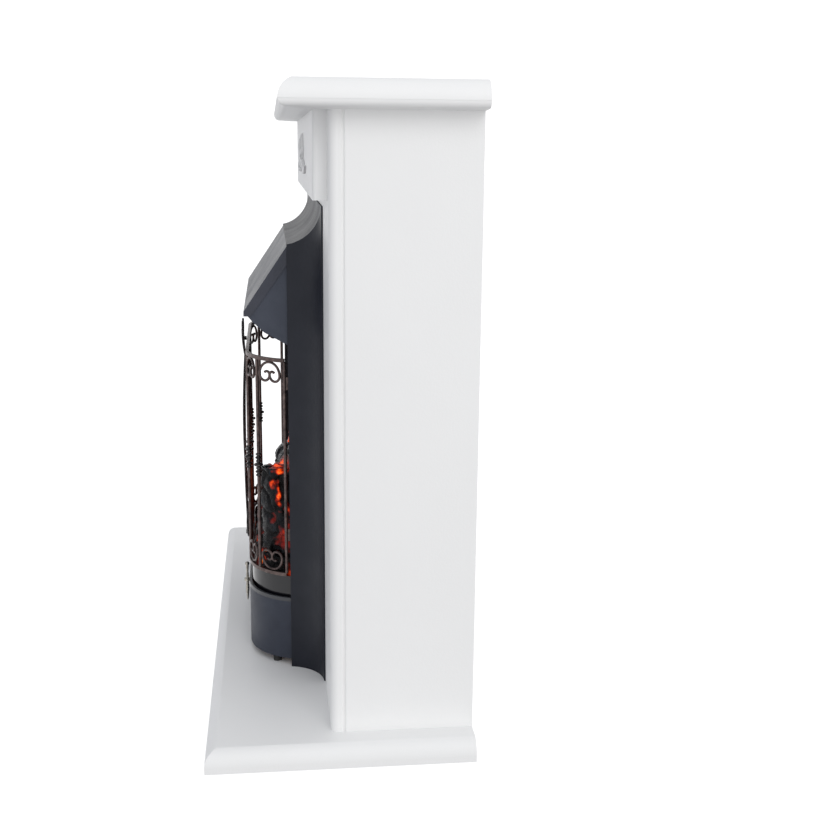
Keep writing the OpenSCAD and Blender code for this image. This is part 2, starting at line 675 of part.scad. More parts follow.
module cover_pull() color(pewter) translate([0, bow_y - 6.5, (cover_z + cover_top) / 2 + 2.6]) {
    rotate([-90, 0, 0]) cylinder(d = 4.4, h = 6.5);
    translate([0, 5, 0]) rotate([-90, 0, 0]) cylinder(d = 15, h = 1.5);
    cylinder(r = 4.7, h = 3.4, center = true);
    sphere(r = 3.9);
    cylinder(r1 = 2.6, r2 = 1.6, h = 11);
    translate([0, 0, 10]) cylinder(r1 = 1.5, r2 = 2.3, h = 13);
    translate([0, 0, 24.5]) sphere(r = 3.3);
    translate([0, 0, -15]) cylinder(r1 = 2.8, r2 = 1.9, h = 13);
    translate([0, 0, -32]) cylinder(r1 = 0.8, r2 = 2.8, h = 17.2);
}

// Fret: two bowed rails, upright bars with bead collars, wire scrolls and a tall centre ornament.
module fret_rails() color(bronze) for (z = [low_z, high_z])
    translate([0, 0, z - rail_h / 2]) bow_band(bow_r, rail_w, rail_h, bow_a);

module fret_bars() color(bronze) both_sides() for (p = bar_xy)
    translate([p[0], p[1], low_z + rail_h / 2]) cylinder(d = bar_d, h = high_z - low_z - rail_h);

module collar() difference() {
    union() {
        for (z = [-1, 0, 1]) translate([0, 0, z * collar_h * 0.29]) sphere(r = collar_h * 0.15);
        for (z = [-1, 1]) translate([0, 0, z * collar_h * 0.15]) cylinder(r = bar_d * 0.72, h = 2, center = true);
        for (z = [-1, 1]) translate([0, 0, z * collar_h * 0.45]) cylinder(r = bar_d * 0.8, h = collar_h * 0.1, center = true);
    }
    cylinder(d = bar_d + 0.06, h = collar_h + 2, center = true);
}

module fret_collars() color(bronze) both_sides() for (k = [1:4])
    translate([bar_xy[k][0], bar_xy[k][1], (low_z + high_z) / 2]) collar();

// One scroll in the xz plane, hanging from z = 0: an arch that ends in two curls meeting at the middle.
module arc_wire(r, from, sweep) rotate([90, 0, 0]) rotate([0, 0, from]) rotate_extrude(angle = sweep)
    translate([r, 0]) circle(d = wire_d);

module scroll() translate([0, 0, -scroll_r - wire_d / 2]) {
    arc_wire(scroll_r, 0, 180);
    for (s = [0, 1]) mirror([s, 0, 0]) {
        translate([scroll_r / 2, 0, 0]) arc_wire(scroll_r / 2, 180, 180);
        translate([scroll_r / 4 + 0.2, 0, 0]) arc_wire(scroll_r / 4 + 0.2, 40, 140);
    }
}

module fret_scrolls() color(bronze) both_sides() for (k = [0:3]) {
    p = bar_xy[k];
    q = bar_xy[k + 1];
    m = (p + q) / 2;
    out = k < 2 ? 2 : 0;
    n = [p[1] - q[1], q[0] - p[0]] / norm(p - q);
    translate([m[0] - n[0] * -out, m[1] - n[1] * -out, 0]) rotate([0, 0, atan2(p[1] - q[1], p[0] - q[0])]) {
        translate([0, 0, high_z - rail_h / 2]) scroll();
        translate([0, 0, low_z + rail_h / 2]) mirror([0, 0, 1]) scroll();
    }
}

// A strip of even width along an arc from p0 to p1 that bulges to its left by the given rise.
module arc_strip(p0, p1, rise, w) {
    d = p1 - p0;
    len = norm(d);
    h = abs(rise);
    r = (len * len / 4 + h * h) / (2 * h);
    translate(p0) rotate(atan2(d[1], d[0])) mirror([0, rise > 0 ? 0 : 1]) {
        intersection() {
            translate([len / 2, h - r]) difference() {
                circle(r = r + w / 2);
                circle(r = r - w / 2);
            }
            translate([0, -w]) square([len, h + 2 * w]);
        }
        circle(d = w + 1.4);
        translate([len, 0]) circle(d = w + 1.4);
    }
}

// Centre ornament: two layers of crossing strips, with a ring on each side of the top.
module fret_ornament() color(bronze) {
    w = 4;
    top = high_z - 24;
    low = low_z - 8;
    translate([0, bow_y - 1.4, 0]) rotate([90, 0, 0]) {
        linear_extrude(height = 3.6) for (s = [0, 1]) mirror([s, 0]) {
            arc_strip([0, low], [0, top], 14, w);
            arc_strip([0, low], [20, low_z + 38], -8, w);
        }
        translate([0, 0, 3.6]) linear_extrude(height = 3.6) for (s = [0, 1]) mirror([s, 0]) {
            arc_strip([0, low_z + 50], [0, top], 24, w);
            arc_strip([0, top], [21, high_z + 16], -6, w);
            translate([11, high_z + 16]) difference() {
                circle(r = 10 + w / 2);
                circle(r = 10 - w / 2);
            }
        }
        for (z = [low_z, high_z]) translate([-3, z - 2, -1.4]) cube([6, 4, 8.6]);
    }
    translate([-9, bow_y - 8.4, high_z - 2]) cube([18, 7, 4]);
}

// Hooks behind the end bars drop over pins in the trim, so the fret lifts off.
module fret_hooks() color(bronze) both_sides() for (z = pin_z) {
    p = bar_xy[0];
    difference() {
        translate([p[0] - 1, 0, 0]) rotate([90, 0, 90]) linear_extrude(height = 2) difference() {
            translate([p[1], z - 8]) square([pin_y + 6 - p[1], 16]);
            translate([pin_y, z]) circle(r = 2.3);
            translate([pin_y - 2.3, z - 9]) square([4.6, 9]);
        }
        translate([p[0], p[1], z - 9]) cylinder(d = bar_d, h = 18);
    }
}

module hanger_pins() color(zinc) both_sides() for (z = pin_z)
    translate([bar_xy[0][0] - 4.5, pin_y, z]) rotate([0, 90, 0]) {
        cylinder(d = 3.9, h = case_x + tin + 2 - bar_xy[0][0] + 4.5);
        cylinder(d = 7, h = 1.6);
    }

hearth_board();
mantel_shelf();
side_panel_left();
side_panel_right();
pilaster_left();
pilaster_right();
header_board();
frieze_board();
carved_onlay();
rear_rail();
corner_blocks();
hearth_screws();
wall_brackets();
fixing_screws();
trim_left();
trim_right();
trim_top();
hood_front();
hood_cheeks();
casing_back();
casing_sides();
casing_top();
casing_floor();
casing_flanges();
fuel_deck();
deck_brackets();
ember_lip();
ember_bed();
logs();
flame_screen();
screen_clips();
spindle();
spindle_bearings();
spindle_motor();
light_board();
lamps();
heater_shelf();
blower_housing();
blower_rotor();
blower_motor();
heating_element();
outlet_grille();
control_panel();
switch_flame();
switch_low();
switch_high();
thermostat_knob();
inlet_gland();
base_cover();
cover_rim();
cover_feet();
cover_pull();
fret_rails();
fret_bars();
fret_collars();
fret_scrolls();
fret_ornament();
fret_hooks();
hanger_pins();
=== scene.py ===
# %% [markdown]
# The electric fireplace is already built as an exact model: boards, sheet steel, rods and rails, all
# in metres and all in their places. This script gives it its looks. It loads that model as a fixed
# frame, lights it, and then works through the finishes and the pieces that want softer or richer
# shapes than an exact model gives: charred logs, glowing embers, wire scrolls and carving.
# %% Load the frame
import bpy, bmesh, math, random
from mathutils import Matrix, Vector, noise


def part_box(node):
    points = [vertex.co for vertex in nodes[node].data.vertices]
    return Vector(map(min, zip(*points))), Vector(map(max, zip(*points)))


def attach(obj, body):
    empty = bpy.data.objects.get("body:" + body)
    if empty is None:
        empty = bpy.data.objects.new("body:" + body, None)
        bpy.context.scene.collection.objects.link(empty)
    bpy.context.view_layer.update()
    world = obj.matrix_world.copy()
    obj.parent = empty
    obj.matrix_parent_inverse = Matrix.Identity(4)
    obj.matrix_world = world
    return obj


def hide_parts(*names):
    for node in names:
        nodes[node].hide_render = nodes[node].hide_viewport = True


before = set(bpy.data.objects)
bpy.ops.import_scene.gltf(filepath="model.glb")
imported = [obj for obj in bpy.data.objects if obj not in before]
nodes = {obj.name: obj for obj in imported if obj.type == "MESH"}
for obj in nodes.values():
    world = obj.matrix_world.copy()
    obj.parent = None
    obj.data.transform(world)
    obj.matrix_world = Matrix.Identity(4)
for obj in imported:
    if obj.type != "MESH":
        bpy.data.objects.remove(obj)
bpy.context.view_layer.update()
hearth_low, hearth_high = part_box("hearth_board")
front_low, front_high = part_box("pilaster_right")
trim_low, trim_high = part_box("trim_top")

# %% [markdown]
# A camera is a place, a direction and a lens. Here it stands off the right end of the suite, a little
# in front of the boards, looking along the shelf and slightly down, so the front is seen almost
# edge-on. A camera looks down its own -Z axis, so its matrix is built from three arrows: right, up,
# and the way back. A small roll finishes it. Building the arrows is clearer than three Euler angles.
# %% Camera
def camera_arrows(azimuth, elevation, roll):
    a, e, r = (math.radians(v) for v in (azimuth, elevation, roll))
    back = Vector((math.sin(a) * math.cos(e), -math.cos(a) * math.cos(e), math.sin(e)))
    level = Vector((0, 0, 1)).cross(back).normalized()
    up = back.cross(level)
    turn = Matrix.Rotation(r, 3, back)
    return turn @ level, turn @ up, back


camera_data = bpy.data.cameras.new("camera")
camera_data.lens = 52.62
camera_data.sensor_width = 36.0
camera_data.clip_start = 0.05
camera = bpy.data.objects.new("camera", camera_data)
bpy.context.collection.objects.link(camera)
right, up, back = camera_arrows(83.35, 12.49, 0.55)
place = Vector((1.709, -0.0735, 0.7157))
camera.matrix_world = Matrix((
    (right.x, up.x, back.x, place.x), (right.y, up.y, back.y, place.y),
    (right.z, up.z, back.z, place.z), (0, 0, 0, 1)))
bpy.context.scene.camera = camera
print("camera", [round(v, 3) for v in camera.matrix_world.translation])

# %% [markdown]
# The set is a wide white floor that runs into a white surround, as on a light table: both glow a
# little of themselves, so no edge shows between them. The surround is brightest around the horizon
# beside the object and dimmer overhead, below, and out in front, which is why level boards and
# front faces look greyer than the end panel. The floor doesn't light the undersides of the boards:
# the grey lower half of the surround does that, so the soffit of the shelf stays in shade. Two large
# soft lamps give shape: one high beside the end panel, and a weak one in front for the black steel.
# %% Floor and light
def add_floor():
    mesh = bpy.data.meshes.new("studio_floor")
    s = 30.0
    mesh.from_pydata([(-s, -s, 0), (s, -s, 0), (s, s, 0), (-s, s, 0)], [], [(0, 1, 2, 3)])
    mesh.transform(Matrix.Translation((0, 0, -0.0005)))
    floor = bpy.data.objects.new("studio_floor", mesh)
    bpy.context.collection.objects.link(floor)
    floor_paint = bpy.data.materials.new("studio_floor_paint")
    floor_paint.use_nodes = True
    shader = floor_paint.node_tree.nodes["Principled BSDF"]
    shader.inputs["Base Color"].default_value = (0.5, 0.5, 0.5, 1)
    shader.inputs["Roughness"].default_value = 0.9
    shader.inputs["Specular IOR Level"].default_value = 0.0
    shader.inputs["Emission Color"].default_value = (1, 1, 1, 1)
    shader.inputs["Emission Strength"].default_value = 0.8
    mesh.materials.append(floor_paint)
    floor.visible_diffuse = False
    return floor


def add_lamp(name, spot, aim, size, watts, tint=(1, 1, 1)):
    data = bpy.data.lights.new(name, "AREA")
    data.shape = "RECTANGLE"
    data.size, data.size_y = size
    data.energy = watts
    data.color = tint
    lamp = bpy.data.objects.new(name, data)
    bpy.context.collection.objects.link(lamp)
    turn = (Vector(aim) - Vector(spot)).to_track_quat("-Z", "Y").to_matrix().to_4x4()
    lamp.matrix_world = Matrix.Translation(spot) @ turn
    return lamp


def add_surround():
    world = bpy.data.worlds.new("studio_surround")
    world.use_nodes = True
    tree = world.node_tree
    split = tree.nodes.new("ShaderNodeSeparateXYZ")
    view = tree.nodes.new("ShaderNodeTexCoord")
    tree.links.new(view.outputs["Generated"], split.inputs["Vector"])

    def shade(axis, *stops):
        ramp = tree.nodes.new("ShaderNodeValToRGB")
        spread = tree.nodes.new("ShaderNodeMapRange")
        spread.inputs["From Min"].default_value = -1.0
        tree.links.new(split.outputs[axis], spread.inputs["Value"])
        tree.links.new(spread.outputs["Result"], ramp.inputs["Fac"])
        while len(ramp.color_ramp.elements) < len(stops):
            ramp.color_ramp.elements.new(0.5)
        for stop, (at, colour) in zip(ramp.color_ramp.elements, stops):
            stop.position, stop.color = (at + 1) / 2, (*colour, 1)
        return ramp.outputs["Color"]

    height = shade("Z", (-0.5, (0.3, 0.3, 0.31)), (-0.06, (1, 1, 1)), (0.16, (1, 1, 1)), (0.7, (0.56, 0.57, 0.59)))
    depth = shade("Y", (-0.9, (0.42, 0.43, 0.46)), (-0.28, (1, 1, 1)), (1.0, (1, 1, 1)))
    both = tree.nodes.new("ShaderNodeMix")
    both.data_type, both.blend_type = "RGBA", "MULTIPLY"
    both.inputs["Factor"].default_value = 1.0
    tree.links.new(height, both.inputs["A"])
    tree.links.new(depth, both.inputs["B"])
    tree.links.new(both.outputs["Result"], tree.nodes["Background"].inputs["Color"])
    tree.nodes["Background"].inputs["Strength"].default_value = 1.26
    bpy.context.scene.world = world


add_floor()
add_surround()
add_lamp("end_light", (2.2, 0.5, 1.9), (0.3, 0.0, 0.6), (1.2, 1.2), 10)
add_lamp("front_light", (0.9, -2.4, 0.9), (0, 0, 0.4), (1.6, 1.2), 1.2)
bpy.context.scene.view_settings.view_transform = "Standard"

# %% [markdown]
# Every finish starts from the same shader with a noise behind it, so a small helper makes a material
# from its few differences. `Kit` keeps the node tree and lets the next cells read like a recipe: a
# noise of a size, a ramp from one colour to another, a bump of a height. Sizes are in metres, so the
# noise scale is the number of features in one metre.
# %% A small kit for finishes
class Kit:
    def __init__(self, name):
        self.material = bpy.data.materials.new(name)
        self.material.use_nodes = True
        self.tree = self.material.node_tree
        self.shader = self.tree.nodes["Principled BSDF"]
        self.point = self.add("ShaderNodeTexCoord").outputs["Object"]

    def add(self, kind, **settings):
        node = self.tree.nodes.new(kind)
        for key, value in settings.items():
            setattr(node, key, value)
        return node

    def link(self, source, target):
        self.tree.links.new(source, target)
        return target

    def put(self, **values):
        for key, value in values.items():
            socket = self.shader.inputs[key.replace("_", " ")]
            socket.default_value = (*value, 1) if isinstance(value, tuple) and len(value) == 3 else value

    def stretch(self, x, y, z):
        mapping = self.add("ShaderNodeMapping")
        mapping.inputs["Scale"].default_value = (x, y, z)
        self.link(self.point, mapping.inputs["Vector"])
        return mapping.outputs["Vector"]

    def noise(self, scale, detail=3.0, rough=0.55, warp=0.0, vector=None):
        node = self.add("ShaderNodeTexNoise")
        for key, value in (("Scale", scale), ("Detail", detail), ("Roughness", rough), ("Distortion", warp)):
            node.inputs[key].default_value = value
        self.link(vector or self.point, node.inputs["Vector"])
        return node.outputs["Fac"]

    def cells(self, scale, feature="F1", vector=None):
        node = self.add("ShaderNodeTexVoronoi", feature=feature)
        node.inputs["Scale"].default_value = scale
        self.link(vector or self.point, node.inputs["Vector"])
        return node.outputs["Distance"]

    def ramp(self, source, *stops):
        node = self.add("ShaderNodeValToRGB")
        elements = node.color_ramp.elements
        while len(elements) < len(stops):
            elements.new(0.5)
        for element, (at, colour) in zip(elements, stops):
            element.position = at
            element.color = (*colour, 1) if isinstance(colour, tuple) else (colour, colour, colour, 1)
        self.link(source, node.inputs["Fac"])
        return node.outputs["Color"]

    def maths(self, what, a, b):
        node = self.add("ShaderNodeMath", operation=what)
        for socket, value in zip(node.inputs, (a, b)):
            if isinstance(value, (int, float)):
                socket.default_value = value
            else:
                self.link(value, socket)
        return node.outputs["Value"]

    def colour(self, source):
        self.link(source, self.shader.inputs["Base Color"])

    def rough(self, source):
        self.link(source, self.shader.inputs["Roughness"])

    def bump(self, source, height, strength=1.0):
        node = self.add("ShaderNodeBump")
        node.inputs["Strength"].default_value = strength
        node.inputs["Distance"].default_value = height
        self.link(source, node.inputs["Height"])
        old = self.shader.inputs["Normal"]
        if old.is_linked:
            self.link(old.links[0].from_socket, node.inputs["Normal"])
        self.link(node.outputs["Normal"], old)


def dress(material, *names):
    for name in names:
        mesh = nodes[name].data
        mesh.materials.clear()
        mesh.materials.append(material)


print("kit ready")

# %% [markdown]
# The surround is fibreboard sprayed with white satin paint. Sprayed paint is never quite flat: it has
# a faint orange-peel ripple a few millimetres across, and its sheen wanders a little where the coat
# is thicker. Two soft noises do that, and the colour moves by only a percent or two.
# %% White satin paint
def satin_paint(name, light, dark, sheen=0.36):
    kit = Kit(name)
    kit.colour(kit.ramp(kit.noise(9.0, 4.0), (0.3, dark), (0.7, light)))
    kit.rough(kit.ramp(kit.noise(26.0, 3.0), (0.3, sheen - 0.03), (0.7, sheen + 0.05)))
    kit.bump(kit.noise(420.0, 2.0), 0.00012)
    kit.put(Specular_IOR_Level=0.3)
    return kit.material


white_paint = satin_paint("white_paint", (0.9, 0.9, 0.895), (0.885, 0.885, 0.88), 0.44)
dress(white_paint, "hearth_board", "mantel_shelf", "side_panel_left", "side_panel_right", "pilaster_left",
      "pilaster_right", "header_board", "frieze_board", "carved_onlay")
print("painted boards done")

# %% [markdown]
# Powder coat is baked-on plastic powder. Close up it has a fine, even texture about half a
# millimetre across and a dull shine, and the black leans slightly to blue. The noise is scaled to
# that grain, and a broader one lifts the sheen where hands and cloths have polished it. The curved
# trim round the fire, the cheeks and the base cover wear the same black coat as the hood: the trim's
# copy is duller and painted darker, as painted shade, and the cheeks' and the cover's copies are
# painted lighter, as painted light. The bead on the cover is brighter.
# %% Black powder coat
def powder_coat(name, low, high, sheen=0.42, shine=0.5):
    kit = Kit(name)
    grain = kit.noise(1500.0, 2.0)
    kit.colour(kit.ramp(kit.noise(30.0, 5.0), (0.3, low), (0.72, high)))
    kit.rough(kit.ramp(kit.noise(14.0, 4.0), (0.3, sheen - 0.05), (0.7, sheen + 0.07)))
    kit.bump(grain, 0.00016)
    kit.put(Specular_IOR_Level=shine)
    return kit.material


black_coat = powder_coat("black_powder_coat", (0.02, 0.024, 0.04), (0.03, 0.034, 0.054))
# Painted shade: the trim coat is a darker copy of the same black powder coat as the hood.
trim_shade_coat = powder_coat("trim_shaded_powder_coat", (0.006, 0.008, 0.015), (0.011, 0.013, 0.022), 0.46, 0.3)
bead_coat = powder_coat("cover_bead_coat", (0.03, 0.033, 0.04), (0.045, 0.048, 0.056), 0.26)
dress(black_coat, "hood_front", "casing_back",
      "casing_sides", "casing_top", "casing_floor", "casing_flanges", "deck_brackets",
      "outlet_grille", "control_panel")
# Painted light: the base cover and the hood cheeks get lighter copies of the same black powder coat as the hood.
cover_lit_coat = powder_coat("cover_lit_powder_coat", (0.034, 0.039, 0.056), (0.046, 0.053, 0.073), 0.45, 0.2)
cheek_lit_coat = powder_coat("cheek_lit_powder_coat", (0.052, 0.06, 0.083), (0.066, 0.075, 0.101), 0.45, 0.25)
dress(cover_lit_coat, "base_cover")
dress(cheek_lit_coat, "hood_cheeks")
dress(trim_shade_coat, "trim_left", "trim_right", "trim_top")
dress(bead_coat, "cover_rim")
print("steel coated")

# %% [markdown]
# The fret is steel rod and cast beads with an antique bronze finish: a dark brown lacquer rubbed back
# so that warm metal shows on the high places. It is half metal, half varnish, so the shader is mostly
# metallic and the rubbed patches come from a noise stretched in no direction.
# %% Antique bronze, pewter and bright steel
def plated(name, dark, bright, size, sheen, metal=1.0, grain=0.00006):
    kit = Kit(name)
    wear = kit.noise(size, 6.0, 0.62)
    kit.colour(kit.ramp(wear, (0.36, dark), (0.68, bright)))
    kit.rough(kit.ramp(kit.noise(size * 2.3, 3.0), (0.3, sheen - 0.08), (0.75, sheen + 0.1)))
    kit.bump(kit.noise(size * 9.0, 2.0), grain)
    kit.put(Metallic=metal)
    return kit.material


bronze = plated("antique_bronze", (0.05, 0.038, 0.037), (0.15, 0.11, 0.102), 120.0, 0.36, 0.8)
black_bronze = plated("blackened_bronze", (0.02, 0.018, 0.019), (0.08, 0.072, 0.072), 160.0, 0.28, 0.8)
pewter = plated("antique_pewter", (0.2, 0.185, 0.16), (0.5, 0.475, 0.42), 260.0, 0.3)
zinc = plated("zinc_plate", (0.5, 0.51, 0.53), (0.68, 0.69, 0.71), 70.0, 0.36)
foil = plated("bright_foil", (0.74, 0.74, 0.76), (0.86, 0.86, 0.88), 40.0, 0.2)
motor_steel = plated("motor_steel", (0.16, 0.16, 0.17), (0.24, 0.24, 0.26), 60.0, 0.45)
heater_wire = plated("heater_wire", (0.22, 0.19, 0.17), (0.42, 0.37, 0.33), 300.0, 0.5)
dress(bronze, "fret_rails", "fret_bars", "fret_scrolls", "fret_hooks")
dress(black_bronze, "fret_collars", "fret_ornament")
dress(pewter, "cover_pull")
dress(zinc, "hearth_screws", "wall_brackets", "fixing_screws", "hanger_pins", "screen_clips",
      "spindle_motor", "heater_shelf", "blower_housing")
dress(foil, "spindle", "blower_rotor")
dress(motor_steel, "blower_motor")
dress(heater_wire, "heating_element")
print("metals done")

# %% [markdown]
# Small hidden pieces still get honest finishes: bare softwood with grain along its length, matt
# moulded plastic, rubber, a green circuit board and amber lamp lenses.
# %% Timber, plastics and lamps
def softwood():
    kit = Kit("bare_softwood")
    grain = kit.noise(9.0, 6.0, 0.6, 0.8, kit.stretch(1.0, 14.0, 14.0))
    kit.colour(kit.ramp(grain, (0.3, (0.42, 0.27, 0.14)), (0.52, (0.66, 0.48, 0.29)), (0.75, (0.76, 0.6, 0.4))))
    kit.bump(grain, 0.0003)
    kit.put(Roughness=0.75)
    return kit.material


def moulded(name, low, high, sheen, size=700.0, height=0.00008):
    kit = Kit(name)
    kit.colour(kit.ramp(kit.noise(35.0, 4.0), (0.3, low), (0.7, high)))
    kit.rough(kit.ramp(kit.noise(50.0, 3.0), (0.3, sheen - 0.05), (0.7, sheen + 0.05)))
    kit.bump(kit.noise(size, 2.0), height)
    return kit.material


matt_plastic = moulded("matt_plastic", (0.028, 0.028, 0.03), (0.04, 0.04, 0.043), 0.5)
soft_rubber = moulded("soft_rubber", (0.018, 0.018, 0.018), (0.03, 0.03, 0.03), 0.78)
gloss_lip = moulded("gloss_lip", (0.003, 0.003, 0.005), (0.006, 0.006, 0.009), 0.12, 60.0, 0.0003)
board_green = moulded("board_green", (0.012, 0.085, 0.04), (0.02, 0.12, 0.055), 0.35)
dress(softwood(), "rear_rail", "corner_blocks")
dress(matt_plastic, "spindle_bearings", "switch_flame", "switch_low", "switch_high", "thermostat_knob", "inlet_gland")
dress(soft_rubber, "cover_feet")
dress(gloss_lip, "ember_lip", "fuel_deck")
dress(board_green, "light_board")


def lamp_lens():
    kit = Kit("lamp_lens")
    kit.colour(kit.ramp(kit.noise(200.0), (0.3, (0.9, 0.42, 0.1)), (0.7, (1.0, 0.6, 0.22))))
    kit.put(Roughness=0.18, Emission_Color=(1.0, 0.45, 0.12), Emission_Strength=2.0)
    return kit.material


dress(lamp_lens(), "lamps")
print("small parts done")

# %% [markdown]
# The flame screen is a smoked, slightly frosted sheet. The flame picture is thrown on it from behind,
# so low down it carries a faint warm glow that fades upwards in tongues.
# %% Flame screen
def smoked_sheet():
    kit = Kit("smoked_screen")
    tongues = kit.noise(11.0, 5.0, 0.6, 1.2, kit.stretch(1.0, 1.0, 0.35))
    kit.colour(kit.ramp(tongues, (0.35, (0.012, 0.011, 0.012)), (0.7, (0.03, 0.024, 0.022))))
    height = kit.add("ShaderNodeSeparateXYZ")
    kit.link(kit.point, height.inputs["Vector"])
    fade = kit.add("ShaderNodeMapRange")
    for key, value in (("From Min", 0.18), ("From Max", 0.38), ("To Min", 1.0), ("To Max", 0.0)):
        fade.inputs[key].default_value = value
    kit.link(height.outputs["Z"], fade.inputs["Value"])
    glow = kit.maths("MULTIPLY", fade.outputs["Result"], kit.ramp(tongues, (0.46, 0.0), (0.72, 1.0)))
    kit.link(kit.ramp(glow, (0.0, (0.0, 0.0, 0.0)), (0.4, (0.35, 0.05, 0.004)), (0.9, (1.0, 0.36, 0.06))),
             kit.shader.inputs["Emission Color"])
    kit.put(Roughness=0.25, Emission_Strength=0.8)
    return kit.material


dress(smoked_sheet(), "flame_screen")
print("screen done")

# %% [markdown]
# Softer pieces start from the exact ones. A copy of a node is a loose set of triangles, so its
# doubles are merged, it is turned into an even skin of small squares (a voxel remesh), and then its
# skin can be pushed in and out like clay. The same helper serves the logs, the embers and the carving.
# %% A clay copy of an exact piece
def clay_copy(name, voxel, rounds=0):
    mesh = nodes[name].data.copy()
    mesh.name = name + "_skin"
    mesh.transform(nodes[name].matrix_world)
    bm = bmesh.new()
    bm.from_mesh(mesh)
    bmesh.ops.remove_doubles(bm, verts=bm.verts, dist=1e-6)
    bm.to_mesh(mesh)
    bm.free()
    piece = bpy.data.objects.new(name + "_work", mesh)
    bpy.context.collection.objects.link(piece)
    even = piece.modifiers.new("even_skin", "REMESH")
    even.mode, even.voxel_size = "VOXEL", voxel
    if rounds:
        soft = piece.modifiers.new("soften", "SMOOTH")
        soft.iterations = rounds
    bpy.context.view_layer.update()
    skin = bpy.data.meshes.new_from_object(piece.evaluated_get(bpy.context.evaluated_depsgraph_get()))
    bpy.data.objects.remove(piece)
    skin.name = name + "_skin"
    skin.materials.clear()
    skin.update()
    return skin


def keep_inside(mesh, name):
    low, high = (Vector(c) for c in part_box(name))
    for vertex in mesh.vertices:
        vertex.co = Vector(min(max(v, a), b) for v, a, b in zip(vertex.co, low, high))


def hand_over(mesh, label, body, finish, *replaced):
    piece = bpy.data.objects.new(label, mesh)
    bpy.context.collection.objects.link(piece)
    mesh.materials.clear()
    mesh.materials.append(finish)
    for face in mesh.polygons:
        face.use_smooth = True
        face.material_index = 0
    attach(piece, body)
    if replaced:
        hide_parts(*replaced)
    return piece


def tag(mesh, name, values):
    layer = mesh.attributes.new(name, "FLOAT", "POINT")
    layer.data.foreach_set("value", values)


def smooth_step(low, high, value):
    t = min(max((value - low) / (high - low), 0.0), 1.0)
    return t * t * (3 - 2 * t)


def crack_at(point, size, stretch=(0.4, 1.0, 1.0)):
    spot = Vector(c * s / size for c, s in zip(point, stretch))
    spot += noise.noise_vector(spot * 0.9) * 0.35
    near = noise.voronoi(spot)[0]
    return near[1] - near[0]


print("clay helper ready")

# %% [markdown]
# Charred timber splits into long blocks, deepest where two cracks meet, and the lamps shine orange
# through the deepest splits. The logs are pushed in along those cracks and roughened by a finer
# noise; the depth and the glow are stored on the skin, so that colour and light fall in the same
# cracks as the shape. The depth also turns the colour near-black in the cracks, which is painted
# shade. The front of the pile stays dark, and the glow sits deep behind it.
# %% Logs
log_low, log_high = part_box("logs")
log_skin = clay_copy("logs", 0.0024, 3)
# Where an end log shines: place across, height, half-width, half-height, strength.
end_embers = ((-0.066, 0.291, 0.013, 0.006, 0.75), (-0.069, 0.256, 0.0045, 0.018, 0.85), (-0.078, 0.272, 0.006, 0.006, 0.6),
              (-0.058, 0.238, 0.005, 0.01, 0.4), (-0.063, 0.208, 0.009, 0.009, 0.35), (-0.08, 0.224, 0.004, 0.01, 0.25))


def end_glow(p):
    best = 0.0
    for y, z, wide, high, strong in end_embers:
        far = math.hypot((p.y - y) / wide, (p.z - z) / high) + 0.9 * noise.noise(p * 150.0)
        best = max(best, strong * (1.0 - smooth_step(0.35, 1.25, far)))
    return best * smooth_step(0.1, 0.125, abs(p.x))


crack_depth_and_shade, glow_level, pushed = [], [], []
for vertex in log_skin.vertices:
    p = vertex.co
    gap = crack_at(p, 0.026, (0.5, 1.0, 0.7))
    split = 1.0 - smooth_step(0.0, 0.16, gap)
    bark = noise.fractal(Vector((p.x * 34, p.y * 110, p.z * 60)), 1.0, 2.2, 5)
    slab = noise.noise(Vector((p.x * 16, p.y * 42, p.z * 30)))
    pushed.append(p + vertex.normal * (0.0022 * bark + 0.0032 * slab - 0.0042 * split - 0.0016))
    deep = (1.0 - 0.6 * smooth_step(0.12, 0.15, abs(p.x))) * smooth_step(-0.089, -0.07, p.y) * smooth_step(0.17, 0.2, p.z) * (1.0 - smooth_step(0.285, 0.305, p.z))
    ends = smooth_step(0.1, 0.14, abs(p.x))
    patch = smooth_step(0.02 - 0.2 * ends, 0.3 - 0.15 * ends, noise.noise(Vector((p.x * 20, p.y * 46, p.z * 26)) + Vector((5, 2, 9))))
    # The crack depth also paints the cracks near-black in the colour, as painted shade.
    crack_depth_and_shade.append(split)
    glow_level.append(max(deep * patch * (0.5 + 0.5 * (1.0 - smooth_step(0.05, 0.5, gap))), end_glow(p)))
for vertex, spot in zip(log_skin.vertices, pushed):
    vertex.co = spot
keep_inside(log_skin, "logs")
tag(log_skin, "split", crack_depth_and_shade)
tag(log_skin, "glow", glow_level)


